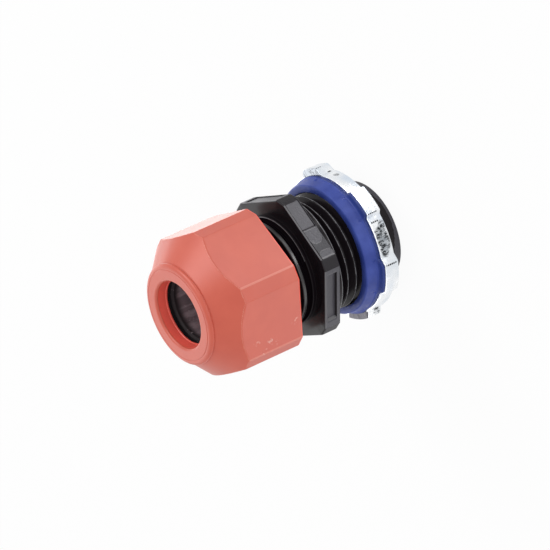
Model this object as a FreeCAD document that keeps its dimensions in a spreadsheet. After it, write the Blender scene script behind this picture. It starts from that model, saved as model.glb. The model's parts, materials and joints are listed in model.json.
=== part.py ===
import FreeCAD, Part
import math
import os

import Sketcher

# A strain relief cord connector: a black nylon gland body whose pipe thread passes through a panel,
# a red dome nut that squeezes a rubber bushing round the cord, and a sealing ring and steel locknut
# behind the panel. The axis is +Z, and the connector stands on the end of its pipe thread.

doc = FreeCAD.newDocument("cord_connector")

# Driving sizes, in millimetres and degrees
DRIVING = [
    ("pilot_radius", 9.2),
    ("pilot_length", 2.95),
    ("entry_thread_radius", 10.6),
    ("entry_thread_depth", 1.25),
    ("entry_thread_length", 11.2),
    ("relief_length", 1.1),
    ("seat_land", 1.4),
    ("seat_thickness", 1.1),
    ("seat_undercut", 0.2),
    ("collar_overhang", 0.5),
    ("collar_corner_cut", 1.24),
    ("collar_thickness", 3.3),
    ("collar_edge", 0.3),
    ("clamp_thread_radius", 10.0),
    ("clamp_thread_depth", 0.9),
    ("clamp_length", 14.3),
    ("entry_bore_radius", 7.3),
    ("socket_radius", 8.0),
    ("socket_depth", 10.3),
    ("socket_lead", 0.8),
    ("nut_gap", 5.3),
    ("nut_length", 17.1),
    ("nut_wall", 2.65),
    ("nut_corner_cut", 1.5),
    ("nut_cone_angle", 45.0),
    ("nut_turned", 4.0),
    ("nut_collar_radius", 9.35),
    ("nut_collar_height", 0.9),
    ("nut_collar_edge", 0.45),
    ("nut_mouth_radius", 6.2),
    ("nut_mouth_edge", 0.35),
    ("nut_lip_radius", 6.0),
    ("nut_front_wall", 2.3),
    ("nut_thread_length", 13.2),
    ("nut_crown_radius", 9.3),
    ("nut_back_chamfer", 0.35),
    ("washer_bore_radius", 6.35),
    ("washer_radius", 8.9),
    ("washer_thickness", 0.8),
    ("bushing_bore_radius", 5.7),
    ("bushing_head_radius", 8.8),
    ("bushing_head_height", 4.2),
    ("bushing_lead", 0.7),
    ("seal_width", 2.1),
    ("seal_thickness", 2.75),
    ("seal_edge", 0.3),
    ("seal_flare", 0.6),
    ("lobe_thickness", 0.5),
    ("lobe_inset", 0.35),
    ("locknut_back_height", 4.45),
    ("locknut_thickness", 2.9),
    ("locknut_width", 2.5),
    ("locknut_turned", 1.0),
    ("lug_reach", 1.05),
    ("lug_angle", 30.0),
    ("lug_slant", 4.5),
    ("locknut_bore_chamfer", 0.4),
    ("panel_depth", 0.55),
    ("panel_bottom", 0.8),
    ("panel_top", 2.75),
    ("panel_left", 4.5),
    ("panel_right", 4.9),
    ("pad_depth", 0.2),
    ("pad_margin", 0.3),
    ("pad_round_end", 2.8),
    ("pad_half_width", 4.6),
    ("running_clearance", 0.06),
    ("assembly_clearance", 0.15),
]

sheet = doc.addObject("Spreadsheet::Sheet", "Sizes")
for row, (alias, number) in enumerate(DRIVING, 1):
    sheet.set(f"A{row}", alias)
    sheet.set(f"B{row}", str(number))
    sheet.setAlias(f"B{row}", alias)
doc.recompute()


class Size:
    """A size worked out from the sheet: its value, and the expression that binds it to the cells."""

    def __init__(self, value, text):
        self.value = float(value)
        self.text = text

    @staticmethod
    def of(other):
        return other if isinstance(other, Size) else Size(other, repr(float(other)))

    def __add__(self, other):
        other = Size.of(other)
        return Size(self.value + other.value, f"({self.text} + {other.text})")

    def __sub__(self, other):
        other = Size.of(other)
        return Size(self.value - other.value, f"({self.text} - {other.text})")

    def __mul__(self, other):
        other = Size.of(other)
        return Size(self.value * other.value, f"({self.text} * {other.text})")

    def __truediv__(self, other):
        other = Size.of(other)
        return Size(self.value / other.value, f"({self.text} / {other.text})")

    def __neg__(self):
        return Size(-self.value, f"(0 - {self.text})")

    __radd__ = __add__
    __rmul__ = __mul__

    def tan(self):
        return Size(math.tan(math.radians(self.value)), f"tan({self.text})")

    def cos(self):
        return Size(math.cos(math.radians(self.value)), f"cos({self.text})")

    def sin(self):
        return Size(math.sin(math.radians(self.value)), f"sin({self.text})")


def cell(alias):
    return Size(sheet.get(alias), f"Sizes.{alias}")


ZERO = Size(0, "0")
HEXAGON_SIDES = 6
HALF_SECTOR = 180.0 / HEXAGON_SIDES
LUG_COUNT = 6
OVERLAP = 1.0           # how far a cut or a joined piece runs past the face it meets
ENTRY_LEAD_SHARE = 0.6  # the lead-in chamfer's share of the pipe thread's depth
CLAMP_LEAD_SHARE = 0.8  # the same for the clamping thread

# Radii that follow from the two threads
seat_radius = cell("entry_thread_radius") + cell("seat_land")
collar_apothem = seat_radius + cell("collar_overhang")
seal_radius = cell("entry_thread_radius") + cell("seal_width")
locknut_radius = cell("entry_thread_radius") + cell("locknut_width")
lug_radius = locknut_radius + cell("lug_reach")
nut_apothem = cell("clamp_thread_radius") + cell("nut_wall")

# Heights along the axis, from the end of the pipe thread upwards
thread_top = cell("pilot_length") + cell("entry_thread_length")
seat_back = thread_top + cell("relief_length")
collar_back = seat_back + cell("seat_thickness")
collar_front = collar_back + cell("collar_thickness")
body_top = collar_front + cell("clamp_length")
socket_floor = body_top - cell("socket_depth")
nut_back = collar_front + cell("nut_gap")
nut_front = nut_back + cell("nut_length")
nut_inner_face = nut_front - cell("nut_front_wall")
washer_bottom = nut_inner_face - cell("washer_thickness")
locknut_front = cell("locknut_back_height") + cell("locknut_thickness")


def set_length(feature, name, size):
    setattr(feature, name, size.value)
    feature.setExpression(name, size.text)


def new_body(name):
    body = doc.addObject("PartDesign::Body", name)
    body.Label = name
    return body


def origin_of(body, role):
    return next(item for item in body.Origin.OriginFeatures if item.Role == role)


def sketch_on(body, name, plane, height=None):
    """A sketch on one of the body's own origin planes, raised along the plane's normal by height."""
    sketch = body.newObject("Sketcher::SketchObject", name)
    sketch.AttachmentSupport = [(origin_of(body, plane), "")]
    sketch.MapMode = "FlatFace"
    if height is not None:
        sketch.AttachmentOffset = FreeCAD.Placement(FreeCAD.Vector(0, 0, height.value), FreeCAD.Rotation())
        sketch.setExpression("AttachmentOffset.Base.z", height.text)
    return sketch


def pin_point(sketch, item, end, x, y):
    """Fixes one end of a sketch line or arc at sizes x and y from the sketch's origin."""
    for kind, axis, size in (("DistanceX", -2, x), ("DistanceY", -1, y)):
        if size is ZERO:
            sketch.addConstraint(Sketcher.Constraint("PointOnObject", item, end, axis))
            continue
        if size.value >= 0:
            ends, amount = (-1, 1, item, end), size
        else:
            ends, amount = (item, end, -1, 1), -size
        number = sketch.addConstraint(Sketcher.Constraint(kind, *ends, amount.value))
        sketch.setExpression(f"Constraints[{number}]", amount.text)


def outline(sketch, points, rounds=None):
    """Draws a closed outline through the (x, y) sizes in points, bound to the sheet.

    rounds maps the number of the point that an arc starts at to (radius, centre x, centre y); every
    other stretch is a straight line.
    """
    rounds = rounds or {}
    ends = []
    for number, (x, y) in enumerate(points):
        after_x, after_y = points[(number + 1) % len(points)]
        start = FreeCAD.Vector(x.value, y.value, 0)
        stop = FreeCAD.Vector(after_x.value, after_y.value, 0)
        if number not in rounds:
            item = sketch.addGeometry(Part.LineSegment(start, stop), False)
            ends.append((item, 1, 2))
            continue
        radius, centre_x, centre_y = rounds[number]
        centre = FreeCAD.Vector(centre_x.value, centre_y.value, 0)
        first, last = start - centre, stop - centre
        turn = first.cross(last).z
        low, high = (first, last) if turn > 0 else (last, first)
        angles = [math.atan2(arm.y, arm.x) for arm in (low, high)]
        circle = Part.Circle(centre, FreeCAD.Vector(0, 0, 1), radius.value)
        item = sketch.addGeometry(Part.ArcOfCircle(circle, angles[0], angles[1]), False)
        ends.append((item, 1, 2) if turn > 0 else (item, 2, 1))
    for number, (item, start_end, _) in enumerate(ends):
        before, _, before_stop = ends[number - 1]
        sketch.addConstraint(Sketcher.Constraint("Coincident", before, before_stop, item, start_end))
        pin_point(sketch, item, start_end, *points[number])
    for number, (radius, _, _) in rounds.items():
        count = sketch.addConstraint(Sketcher.Constraint("Radius", ends[number][0], radius.value))
        sketch.setExpression(f"Constraints[{count}]", radius.text)


def turned(body, name, points, rounds=None, cut=False):
    """Turns an outline in the XZ plane about the Z axis, as solid or as a cut."""
    sketch = sketch_on(body, f"{name}_outline", "XZ_Plane")
    outline(sketch, points, rounds)
    feature = body.newObject("PartDesign::Groove" if cut else "PartDesign::Revolution", name)
    feature.Profile = sketch
    feature.ReferenceAxis = (sketch, ["V_Axis"])
    feature.Angle = 360.0
    doc.recompute()
    return feature


def padded(body, name, sketch, length):
    feature = body.newObject("PartDesign::Pad", name)
    feature.Profile = sketch
    set_length(feature, "Length", length)
    doc.recompute()
    return feature


def pocketed(body, name, sketch, length, towards_normal=False):
    before = body.Shape.Volume
    feature = body.newObject("PartDesign::Pocket", name)
    feature.Profile = sketch
    feature.Reversed = towards_normal
    set_length(feature, "Length", length)
    doc.recompute()
    if feature.Shape.Volume > before - 1e-6:
        raise RuntimeError(f"{name} cuts nothing")
    return feature


def round_the_axis(body, name, originals, count):
    feature = body.newObject("PartDesign::PolarPattern", name)
    feature.Originals = originals
    feature.Axis = (origin_of(body, "Z_Axis"), [""])
    feature.Angle = 360.0
    feature.Occurrences = count
    body.Tip = feature
    doc.recompute()
    return feature


def flat_panel(body, name, apothem, facing, points, depth, rounds=None):
    """Sinks a panel into an upright flat that faces the angle facing; points are (along, height)."""
    sketch = sketch_on(body, f"{name}_outline", "XZ_Plane")
    swing = facing - 270.0
    base = FreeCAD.Vector((apothem * swing.sin()).value, 0, (apothem * swing.cos()).value)
    sketch.AttachmentOffset = FreeCAD.Placement(base, FreeCAD.Rotation(FreeCAD.Vector(0, 1, 0), swing.value))
    sketch.setExpression("AttachmentOffset.Base.x", (apothem * swing.sin()).text)
    sketch.setExpression("AttachmentOffset.Base.z", (apothem * swing.cos()).text)
    outline(sketch, points, rounds)
    return pocketed(body, name, sketch, depth)


def bevelled_hexagon(sketch, apothem, corner_cut, first_flat):
    """A hexagon with one flat facing the angle first_flat, each flat cut short by corner_cut at both ends."""
    half_width = apothem * Size.of(HALF_SECTOR).tan() - corner_cut
    points = []
    for side in range(HEXAGON_SIDES):
        angle = first_flat + 2 * HALF_SECTOR * side
        for way in (-1, 1):
            points.append((angle.cos() * apothem - angle.sin() * half_width * way,
                           angle.sin() * apothem + angle.cos() * half_width * way))
    outline(sketch, points)


def tabs_round(body, name, base, thickness, root, reach):
    """Six tabs at the locknut's lugs, from radius root out to reach, which narrow outwards."""
    middle, half = cell("locknut_turned"), cell("lug_angle") / 2
    tip_half = half - cell("lug_slant")

    def at(radius, angle):
        return (radius * angle.cos(), radius * angle.sin())

    sketch = sketch_on(body, f"{name}_outline", "XY_Plane", base)
    outline(sketch, [at(root, middle - half), at(reach, middle - tip_half), at(reach, middle + tip_half),
                     at(root, middle + half)],
            {1: (reach, ZERO, ZERO), 3: (root, ZERO, ZERO)})
    first = padded(body, name, sketch, thickness)
    round_the_axis(body, f"{name}s", [first], LUG_COUNT)


def gland_body():
    """The moulded body: pilot, pipe thread, seat, hexagon collar, clamping thread and passage.

    Both threads are solid to their crests, with their leads and the relief under the seat.
    """
    body = new_body("gland_body")
    pilot = cell("pilot_radius")
    entry = cell("entry_thread_radius")
    entry_root = entry - cell("entry_thread_depth")
    seat = seat_radius
    clamp = cell("clamp_thread_radius")
    lead = cell("entry_thread_depth") * ENTRY_LEAD_SHARE
    clamp_lead = cell("clamp_thread_depth") * CLAMP_LEAD_SHARE
    turned(body, "barrel", [
        (ZERO, ZERO),
        (pilot, ZERO),
        (pilot, cell("pilot_length")),
        (entry - lead, cell("pilot_length")),
        (entry, cell("pilot_length") + lead),
        (entry, thread_top),
        (entry_root, thread_top + cell("entry_thread_depth") / 2),
        (entry_root, seat_back + cell("seat_undercut")),
        (entry + cell("assembly_clearance"), seat_back + cell("seat_undercut")),
        (entry + cell("assembly_clearance"), seat_back),
        (seat, seat_back),
        (seat, collar_front),
        (clamp, collar_front),
        (clamp, body_top - clamp_lead),
        (clamp - clamp_lead, body_top),
        (ZERO, body_top),
    ])
    flats = sketch_on(body, "collar_outline", "XY_Plane", collar_back)
    bevelled_hexagon(flats, collar_apothem, cell("collar_corner_cut"), ZERO)
    padded(body, "collar", flats, cell("collar_thickness"))
    corner = collar_apothem / Size.of(HALF_SECTOR).cos() - cell("collar_corner_cut") / 2
    edge = cell("collar_edge")
    turned(body, "collar_front_edge", [
        (corner - edge * 2, collar_front + edge),
        (corner - edge * 2, collar_front + edge / 2),
        (corner + edge, collar_front - edge),
        (corner + edge, collar_front + edge),
    ], cut=True)
    bottom, top = collar_back + cell("panel_bottom"), collar_back + cell("panel_top")
    left, right = -cell("panel_left"), cell("panel_right")
    flat_panel(body, "panel", collar_apothem, Size.of(240.0),
               [(left, bottom), (right, bottom), (right, top), (left, top)], cell("panel_depth"))
    low, high = collar_back + cell("pad_margin"), collar_front - cell("pad_margin")
    wide, sunk = cell("pad_half_width"), cell("pad_depth")
    flat_panel(body, "top_pad", collar_apothem, ZERO, [(-wide, low), (wide, low), (wide, high), (-wide, high)], sunk)
    reach, middle = (high - low) / 2, (high + low) / 2
    centre = reach - cell("pad_round_end")
    flat_panel(body, "round_pad", collar_apothem, Size.of(300.0),
               [(centre, low), (wide, low), (wide, high), (centre, high), (centre - reach, middle)], sunk,
               {3: (reach, centre, middle), 4: (reach, centre, middle)})
    bore = cell("entry_bore_radius")
    socket = cell("socket_radius")
    turned(body, "passage", [
        (ZERO, -cell("socket_lead")),
        (bore, -cell("socket_lead")),
        (bore, socket_floor),
        (socket, socket_floor),
        (socket, body_top - cell("socket_lead")),
        (socket + cell("socket_lead"), body_top),
        (socket + cell("socket_lead"), body_top + cell("socket_lead")),
        (ZERO, body_top + cell("socket_lead")),
    ], cut=True)
    return body


def dome_nut():
    """The dome nut: a bevelled hexagon under a cone, with a collar round its mouth."""
    body = new_body("dome_nut")
    collar = cell("nut_collar_radius")
    collar_base = nut_front - cell("nut_collar_height")
    slope = cell("nut_cone_angle").tan()
    flats = sketch_on(body, "hexagon_outline", "XY_Plane", nut_back)
    bevelled_hexagon(flats, nut_apothem, cell("nut_corner_cut"), cell("nut_turned"))
    padded(body, "hexagon", flats, cell("nut_length") - cell("nut_collar_height"))
    beyond = nut_apothem / Size.of(HALF_SECTOR).cos()
    turned(body, "cone", [
        (collar, collar_base),
        (beyond, collar_base - (beyond - collar) * slope),
        (beyond, collar_base + OVERLAP),
        (collar, collar_base + OVERLAP),
    ], cut=True)
    edge = cell("nut_collar_edge")
    turned(body, "mouth_collar", [
        (ZERO, collar_base),
        (collar, collar_base),
        (collar, nut_front - edge),
        (collar - edge, nut_front),
        (ZERO, nut_front),
    ])
    thread = cell("clamp_thread_radius") + cell("running_clearance")
    thread_end = nut_back + cell("nut_thread_length")
    crown = cell("nut_crown_radius")
    lip = cell("nut_lip_radius")
    mouth = cell("nut_mouth_radius")
    mouth_edge = cell("nut_mouth_edge")
    chamfer = cell("nut_back_chamfer")
    turned(body, "hollow", [
        (ZERO, nut_back - chamfer),
        (thread + chamfer, nut_back - chamfer),
        (thread + chamfer, nut_back),
        (thread, nut_back + chamfer),
        (thread, thread_end),
        (crown, nut_inner_face - (thread - crown)),
        (crown, nut_inner_face),
        (lip, nut_inner_face),
        (mouth, nut_front - mouth_edge),
        (mouth + mouth_edge, nut_front),
        (mouth + mouth_edge, nut_front + chamfer),
        (ZERO, nut_front + chamfer),
    ], cut=True)
    return body


def friction_ring():
    """The slip washer between the nut and the bushing, which slides without turning."""
    body = new_body("friction_ring")
    inner, outer = cell("washer_bore_radius"), cell("washer_radius")
    turned(body, "washer", [
        (inner, washer_bottom),
        (outer, washer_bottom),
        (outer, nut_inner_face),
        (inner, nut_inner_face),
    ])
    return body


def cable_bushing():
    """The rubber bushing: a sleeve in the body's socket, with a head that the nut presses down."""
    body = new_body("cable_bushing")
    bore = cell("bushing_bore_radius")
    sleeve = cell("socket_radius") - cell("assembly_clearance")
    head = cell("bushing_head_radius")
    lead = cell("bushing_lead")
    head_bottom = washer_bottom - cell("bushing_head_height")
    turned(body, "sleeve", [
        (bore, socket_floor),
        (sleeve, socket_floor),
        (sleeve, head_bottom),
        (head, head_bottom + (head - sleeve)),
        (head, washer_bottom - lead),
        (head - lead, washer_bottom),
        (bore + lead / 2, washer_bottom),
        (bore, washer_bottom - lead / 2),
    ])
    return body


def sealing_ring():
    """The soft sealing ring in front of the locknut: it flares out towards it, with a lobe on each lug."""
    body = new_body("sealing_ring")
    inner = cell("entry_thread_radius") + cell("running_clearance")
    outer = seal_radius
    edge, flare = cell("seal_edge"), cell("seal_flare")
    back, front = locknut_front, locknut_front + cell("seal_thickness")
    turned(body, "ring", [
        (inner, back),
        (outer - edge, back),
        (outer, back + edge),
        (outer - flare, front - edge),
        (outer - flare - edge, front),
        (inner, front),
    ])
    tabs_round(body, "lobe", back, cell("lobe_thickness"), outer - OVERLAP, lug_radius - cell("lobe_inset"))
    return body


def locknut():
    """The steel locknut: a flat ring with six driving lugs, which narrow outwards."""
    body = new_body("locknut")
    back = cell("locknut_back_height")
    bore = cell("entry_thread_radius") + cell("running_clearance")
    ring = locknut_radius
    chamfer = cell("locknut_bore_chamfer")
    turned(body, "ring", [
        (bore + chamfer, back),
        (ring, back),
        (ring, locknut_front),
        (bore + chamfer, locknut_front),
        (bore, locknut_front - chamfer),
        (bore, back + chamfer),
    ])
    tabs_round(body, "lug", back, cell("locknut_thickness"), ring - OVERLAP, lug_radius)
    return body


BODIES = [gland_body(), dome_nut(), friction_ring(), cable_bushing(), sealing_ring(), locknut()]
doc.recompute()

for item in doc.Objects:
    if "Invalid" in item.State or "Error" in item.State:
        raise RuntimeError(f"{item.Name} failed: {item.State}")
for body in BODIES:
    if body.Shape.isNull() or not body.Shape.isValid() or len(body.Shape.Solids) != 1:
        raise RuntimeError(f"{body.Label} is not one valid solid")

os.makedirs("parts", exist_ok=True)
for body in BODIES:
    body.Shape.exportStep(os.path.join("parts", f"{body.Label}.step"))
    print(f"{body.Label}: {body.Shape.Volume / 1000:.3f} cm3, z {body.Shape.BoundBox.ZMin:.2f} "
          f"to {body.Shape.BoundBox.ZMax:.2f} mm, radius {body.Shape.BoundBox.XMax:.2f} mm")
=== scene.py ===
# %% [markdown]
# # Strain relief cord connector
#
# A cord enters a steel box through this connector. Its dome nut squeezes a rubber bushing round the
# cord, and its pipe thread, with a sealing ring and a locknut, holds the body in the box's wall.
#
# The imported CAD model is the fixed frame: metres, +Z along the cord's passage, standing on the end
# of the pipe thread at z = 0. Every piece below is a new surface, worked out with numpy from the
# same sizes as the solids. It rides on their bodies and stands for their nodes. Lengths are written
# in millimetres and turned to metres where a mesh or a lamp is made.

# %% Load the frame
import json
import math

import bpy
import numpy as np
from mathutils import Matrix

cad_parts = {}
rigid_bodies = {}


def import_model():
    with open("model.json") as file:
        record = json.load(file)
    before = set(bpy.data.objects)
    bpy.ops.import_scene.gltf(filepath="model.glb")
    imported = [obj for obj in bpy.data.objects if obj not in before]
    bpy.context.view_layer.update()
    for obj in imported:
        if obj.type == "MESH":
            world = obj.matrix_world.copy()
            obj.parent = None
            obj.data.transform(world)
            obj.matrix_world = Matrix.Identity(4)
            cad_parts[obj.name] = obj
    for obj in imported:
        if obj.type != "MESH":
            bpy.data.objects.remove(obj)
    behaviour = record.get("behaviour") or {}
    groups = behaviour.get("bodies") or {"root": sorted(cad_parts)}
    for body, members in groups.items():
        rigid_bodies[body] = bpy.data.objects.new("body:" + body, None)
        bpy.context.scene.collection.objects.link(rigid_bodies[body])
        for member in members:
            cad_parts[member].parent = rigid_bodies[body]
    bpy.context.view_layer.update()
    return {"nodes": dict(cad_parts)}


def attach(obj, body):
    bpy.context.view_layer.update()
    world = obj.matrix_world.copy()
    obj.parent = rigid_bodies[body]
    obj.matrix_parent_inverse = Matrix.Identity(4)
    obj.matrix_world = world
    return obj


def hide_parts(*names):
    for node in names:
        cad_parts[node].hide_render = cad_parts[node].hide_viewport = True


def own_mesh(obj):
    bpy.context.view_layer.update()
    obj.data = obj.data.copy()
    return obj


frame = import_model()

MM = 0.001
print("nodes:", sorted(frame["nodes"]))

# %% [markdown]
# ## Lofts
#
# All six pieces are nearly turned parts, so each could be a drawn line with a Screw modifier. But a
# hexagon, a thread or a lug changes the radius on the way round, which a turned line can't do. So
# every surface here is a loft: a stack of closed rings round the axis, where a ring gives a radius
# and a height at each of its angles. One function then covers turned faces, hexagons, threads and
# lugs. The last ring is the first one again, so that the skin closes on itself.

# %% Loft
def ring_angles(count, extra=()):
    """Angles round the axis in radians: evenly spread, with the extra ones added."""
    even = np.arange(count) * 2 * np.pi / count
    both = np.sort(np.concatenate([even, np.mod(np.asarray(extra, float), 2 * np.pi)]))
    keep = np.concatenate([[True], np.diff(both) > 1e-5])
    return both[keep]


def spread(value, angles):
    """A number, or one value per angle, as an array over the angles."""
    return np.broadcast_to(np.asarray(value, float), angles.shape)


def loft(name, angles, rings):
    """A mesh through rings of (radius, height) in mm, each a number or one value per angle.

    Vertex (i, j) lies at (r_i(a_j) cos a_j, r_i(a_j) sin a_j, z_i(a_j)). The last ring repeats the
    first, so its faces end on the first ring's vertices.
    """
    r = np.stack([spread(radius, angles) for radius, _ in rings[:-1]])
    z = np.stack([spread(height, angles) for _, height in rings[:-1]])
    points = np.stack([r * np.cos(angles), r * np.sin(angles), z], axis=2).reshape(-1, 3) * MM
    across, down = len(angles), len(rings) - 1
    here = np.arange(across)
    there = (here + 1) % across
    low = np.arange(down)[:, None] * across
    high = (np.arange(down)[:, None] + 1) % down * across
    faces = np.stack([low + here, low + there, high + there, high + here], axis=2).reshape(-1, 4)
    mesh = bpy.data.meshes.new(name)
    mesh.from_pydata(points.tolist(), [], faces.tolist())
    mesh.validate()
    mesh.update()
    mesh.shade_smooth()
    piece = bpy.data.objects.new(name, mesh)
    bpy.context.scene.collection.objects.link(piece)
    return piece


print("angles on a ring of 180 with one added:", len(ring_angles(180, [0.01])))

# %% [markdown]
# ## Profiles and arcs
#
# A smooth-shaded mesh blurs its corners, because a corner's vertices share one normal. A Bevel
# modifier or marked sharp edges would help, but a pair of rings close to each corner does it too:
# it holds the shading flat up to the corner, which then reads as a small moulded edge.

# %% Profile and arc
CORNER_PAIR = 0.04


def profile(points, step=0.35):
    """Rings along a line of (radius, height) points, with a tight pair at each end of a stretch.

    On a stretch the rings lie at p0 + (p1 - p0) s, where s runs from 0 to 1.
    """
    rings = []
    for (r0, z0), (r1, z1) in zip(points[:-1], points[1:]):
        length = math.hypot(r1 - r0, z1 - z0)
        near = min(CORNER_PAIR, length * 0.2) / length
        inner = np.linspace(near, 1 - near, max(2, int(length / step)))[1:-1]
        shares = np.concatenate([[0, near], inner, [1 - near]])
        rings += [(r0 + (r1 - r0) * s, z0 + (z1 - z0) * s) for s in shares]
    rings.append(points[-1])
    return rings


def arc(centre_r, centre_z, wide, start, stop, count, tall=None):
    """Rings along an arc: (centre_r + wide cos t, centre_z + tall sin t), t from start to stop."""
    tall = wide if tall is None else tall
    turn = np.radians(np.linspace(start, stop, count))
    return [(centre_r + wide * math.cos(t), centre_z + tall * math.sin(t)) for t in turn]


print("rings on a 3.5 mm stretch:", len(profile([(5.0, 0.0), (5.0, 3.5)])))

# %% [markdown]
# ## Bodies and finishes
#
# Each piece rides on the body that carries it in the frame, so it turns and slides with the joints.
# One mesh can have several finishes: every face has a material number, and the numbers are set for
# all faces at once.

# %% Place and dress
def dress(piece, finish, *names):
    """Gives a piece its materials; finish holds the material's number for each face of each row."""
    for name in names:
        piece.data.materials.append(MATERIALS[name])
    numbers = np.broadcast_to(np.asarray(finish, np.int32).ravel(), len(piece.data.polygons))
    piece.data.polygons.foreach_set("material_index", np.ascontiguousarray(numbers))
    return piece


def place(piece, body, node):
    """Lets a piece ride on a body, in place of the CAD node named, which it hides."""
    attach(piece, body)
    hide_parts(node)
    print(f"{piece.name}: {len(piece.data.polygons)} faces on {body}")


print("meshes before the first piece:", len(bpy.data.meshes))

# %% [markdown]
# ## Shader maths
#
# A material's pattern is arithmetic on sockets. Wiring Math nodes by hand hides that arithmetic, so
# a small class holds a socket and adds a Math node for each + and *, and one method makes every
# node. Patterns read Object coordinates, which stay on the piece when it moves. Only base colour,
# roughness and the bump vary over a surface, because those are what the exported model keeps.

# %% Values and sheets
class Value:
    """A shader socket with arithmetic: a + b and a * b add Math nodes to its tree."""

    def __init__(self, sheet, socket):
        self.sheet, self.socket = sheet, socket

    def math(self, operation, other):
        return self.sheet.node("ShaderNodeMath", [self, other], operation=operation)

    def __add__(self, other):
        return self.math("ADD", other)

    def __mul__(self, other):
        return self.math("MULTIPLY", other)

    __radd__ = __add__
    __rmul__ = __mul__

    def capped(self):
        """The value, held at 1."""
        return self.math("MINIMUM", 1.0)

    def step(self, start, end):
        """0 at start and 1 at end, with a smooth rise between them; start may be the larger."""
        return self.sheet.node("ShaderNodeMapRange", [self, start, end, 0.0, 1.0],
                               interpolation_type="SMOOTHSTEP")


class Sheet:
    """The node tree of a material or of the world."""

    def __init__(self, owner, shader="Principled BSDF"):
        owner.use_nodes = True
        self.owner, self.tree = owner, owner.node_tree
        self.shader = self.tree.nodes[shader]
        self.place = self.node("ShaderNodeTexCoord", [], out="Object")

    def node(self, kind, inputs, out=0, **settings):
        """Makes a node: its settings first, then its inputs' values or links, by number or name."""
        node = self.tree.nodes.new(kind)
        for key, value in settings.items():
            setattr(node, key, value)
        for slot, value in (enumerate(inputs) if isinstance(inputs, list) else inputs.items()):
            if isinstance(value, Value):
                self.tree.links.new(value.socket, node.inputs[slot])
            else:
                node.inputs[slot].default_value = value
        return Value(self, node.outputs[out])

    def noise(self, scale, detail=2.0, stretch=(1, 1, 1), roughness=0.5):
        where = self.node("ShaderNodeMapping", {"Vector": self.place, "Scale": stretch})
        return self.node("ShaderNodeTexNoise", {"Vector": where, "Scale": scale, "Detail": detail,
                                                "Roughness": roughness})

    def height(self):
        """Height above the pipe thread's end, in metres."""
        return self.node("ShaderNodeSeparateXYZ", [self.place], out=2)

    def away(self, spot):
        """Distance in metres from a spot given in millimetres."""
        return self.node("ShaderNodeVectorMath", [self.place, [c * MM for c in spot]], out=1,
                         operation="DISTANCE")

    def mix(self, share, first, second):
        """Two colours blended: the first at a share of 0, the second at 1."""
        first, second = ((*c, 1) if isinstance(c, tuple) else c for c in (first, second))
        return self.node("ShaderNodeMix", {0: share, 6: first, 7: second}, out=2, data_type="RGBA")

    def bump(self, height, distance, strength=1.0):
        return self.node("ShaderNodeBump", {"Height": height, "Distance": distance,
                                            "Strength": strength})

    def finish(self, **inputs):
        """Sets the shader's inputs, by name with _ for a space."""
        for name, value in inputs.items():
            socket = self.shader.inputs[name.replace("_", " ")]
            if isinstance(value, Value):
                self.tree.links.new(value.socket, socket)
            else:
                socket.default_value = (*value, 1) if isinstance(value, tuple) else value
        return self.owner


def material_sheet(name):
    return Sheet(bpy.data.materials.new(name))


print("operators that add Math nodes: + and *")

# %% [markdown]
# ## Red nylon
#
# The nut is moulded in coral nylon, satin and even, and years of handling leave pale scuffs. An
# image texture could carry those, but a few soft spots, broken up by a noise, need no unwrapping.
# The thin edges catch more light than their flats and the mouth's wall glows with the light that
# falls into it, so both are painted lighter: a painted highlight on the edges and painted light on
# the mouth's wall.

# %% Red nylon
# Places of the pale scuffs on one flat, in mm
SCUFFS = [(-7.1, -10.6, 26.55), (-9.4, -9.5, 30.55), (-8.5, -9.9, 34.85), (-10.3, -9.1, 33.25),
          (-8.9, -9.8, 31.85)]
# The darker and the paler tone of each red finish
REDS = {
    "red_nylon": ((0.590, 0.092, 0.052), (0.625, 0.105, 0.060)),
    # Painted highlight on the nut's thin edges
    "red_nylon_painted_highlight": ((0.66, 0.165, 0.110), (0.68, 0.180, 0.125)),
    "red_nylon_rim": ((0.80, 0.075, 0.035), (0.84, 0.085, 0.040)),
    # Painted light on the mouth's wall, for the light that falls into it
    "red_nylon_painted_mouth_light": ((0.86, 0.113, 0.080), (0.90, 0.125, 0.090)),
}
RED, RED_PAINTED_HIGHLIGHT, RED_RIM, RED_PAINTED_MOUTH_LIGHT = range(4)


def red_nylon(name, dark, pale):
    """Even colour with a very fine moulded grain, and a few pale scuffs on one flat."""
    s = material_sheet(name)
    cloud = s.noise(160, 3)
    colour = s.mix(cloud.step(0.35, 0.7), dark, pale)
    near = 0.0
    for spot in SCUFFS:
        near = s.away(spot).step(0.0010, 0.0004) + near
    scuffed = near * s.noise(2100, 3).step(0.56, 0.66) * 0.5
    return s.finish(Base_Color=s.mix(scuffed, colour, (0.80, 0.45, 0.38)),
                    Roughness=0.35 + cloud * 0.08, Specular_IOR_Level=0.55,
                    Normal=s.bump(s.noise(2600, 2), 0.00002, 0.5))


MATERIALS = {name: red_nylon(name, *tones) for name, tones in REDS.items()}
print("red finishes:", list(REDS))
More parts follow.
